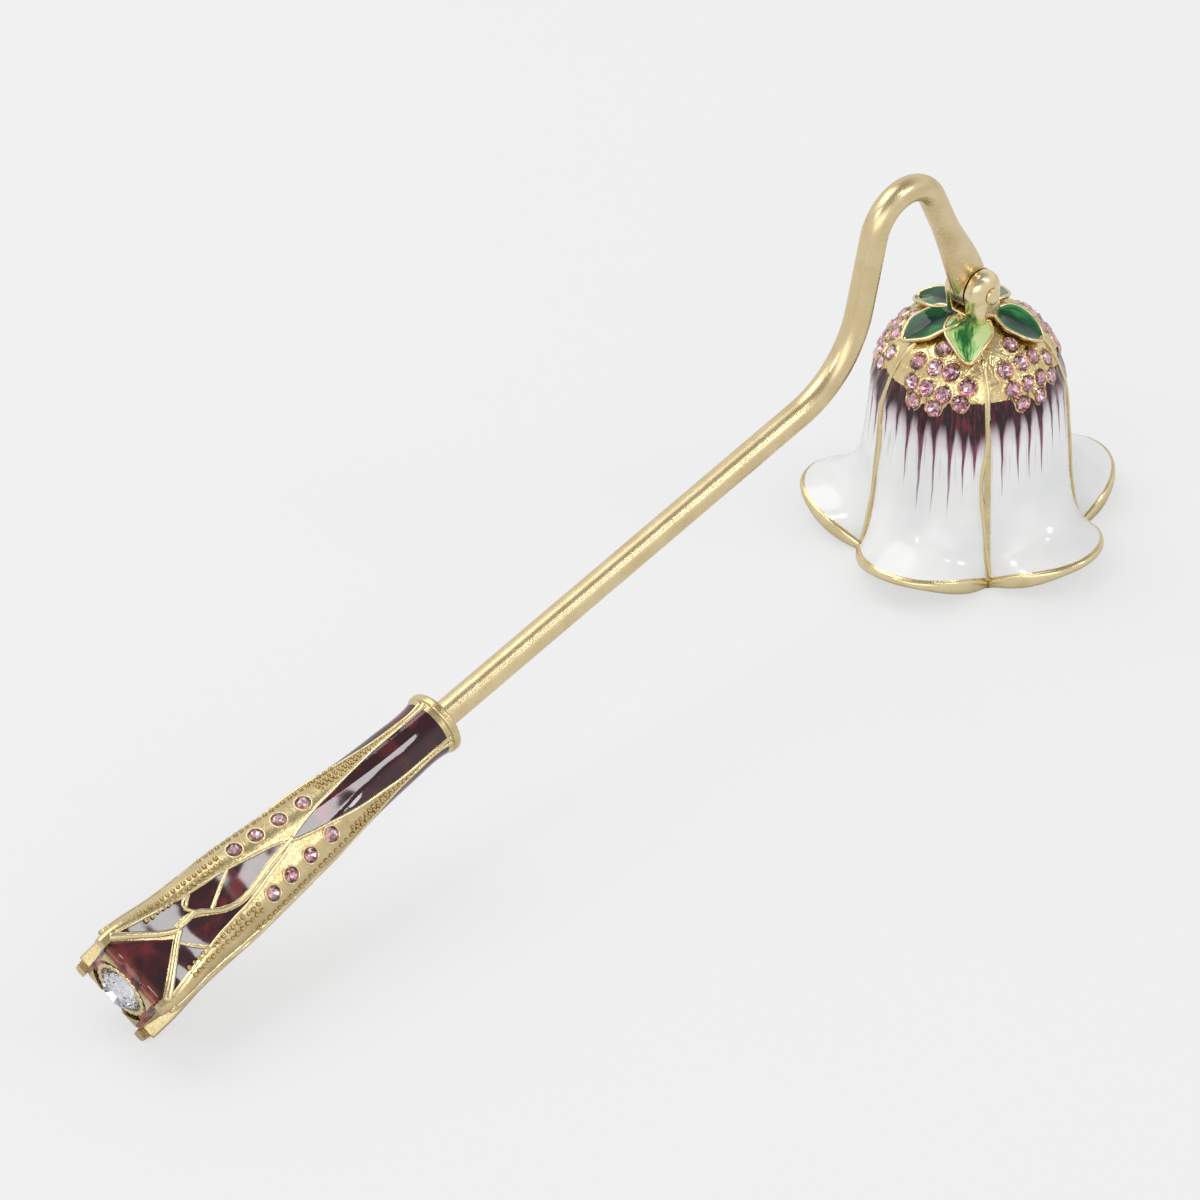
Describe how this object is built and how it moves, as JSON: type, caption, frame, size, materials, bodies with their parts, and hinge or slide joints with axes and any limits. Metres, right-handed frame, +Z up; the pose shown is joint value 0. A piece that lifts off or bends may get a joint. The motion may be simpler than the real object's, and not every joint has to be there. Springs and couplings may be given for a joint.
{
  "type": "candle snuffer",
  "caption": "Flower-shaped candle snuffer: an enamelled bell swings freely on a hinge under a goose-neck rod with a jewelled bud handle.",
  "frame": {"origin": "centre of the bell's mouth on the table", "axes": "+Z up along the bell's axis, +X away from the handle, Y across the handle along the hinge pin"},
  "size_m": [0.195, 0.0454, 0.0673],
  "materials": {
    "gold_casting": "satin",
    "gold_rod": "satin",
    "white_enamel": "gloss",
    "wine_enamel": "gloss",
    "green_enamel": "gloss",
    "pink_crystal": "polished",
    "clear_crystal": "polished"
  },
  "bodies": {
    "handle": {"handle_casting": "gold_casting", "collar_ring": "gold_casting", "neck_rod": "gold_rod", "lancet_enamel_1": "wine_enamel", "lattice_enamel_1": "wine_enamel", "calyx_enamel_1": "wine_enamel", "band_crystals_1": "pink_crystal", "lancet_enamel_2": "wine_enamel", "lattice_enamel_2": "wine_enamel", "calyx_enamel_2": "wine_enamel", "band_crystals_2": "pink_crystal", "lancet_enamel_3": "wine_enamel", "lattice_enamel_3": "wine_enamel", "calyx_enamel_3": "wine_enamel", "band_crystals_3": "pink_crystal", "lancet_enamel_4": "wine_enamel", "lattice_enamel_4": "wine_enamel", "calyx_enamel_4": "wine_enamel", "band_crystals_4": "pink_crystal", "butt_crystal": "clear_crystal"},
    "bell": {"bell_casting": "gold_casting", "bell_clevis": "gold_casting", "clevis_nut": "gold_casting", "hinge_pin": "gold_rod", "white_enamel_1": "white_enamel", "wine_enamel_1": "wine_enamel", "petal_crystals_1": "pink_crystal", "leaf_1": "gold_casting", "leaf_enamel_1": "green_enamel", "white_enamel_2": "white_enamel", "wine_enamel_2": "wine_enamel", "petal_crystals_2": "pink_crystal", "leaf_2": "gold_casting", "leaf_enamel_2": "green_enamel", "white_enamel_3": "white_enamel", "wine_enamel_3": "wine_enamel", "petal_crystals_3": "pink_crystal", "leaf_3": "gold_casting", "leaf_enamel_3": "green_enamel", "white_enamel_4": "white_enamel", "wine_enamel_4": "wine_enamel", "petal_crystals_4": "pink_crystal", "leaf_4": "gold_casting", "leaf_enamel_4": "green_enamel", "white_enamel_5": "white_enamel", "wine_enamel_5": "wine_enamel", "petal_crystals_5": "pink_crystal", "leaf_5": "gold_casting", "leaf_enamel_5": "green_enamel"}
  },
  "joints": [
    {"name": "bell_swing", "type": "hinge", "parent": "handle", "child": "bell", "pos_m": [0, 0, 0.042], "axis": [0, 1, 0], "range_deg": [-90, 40]}
  ]
}
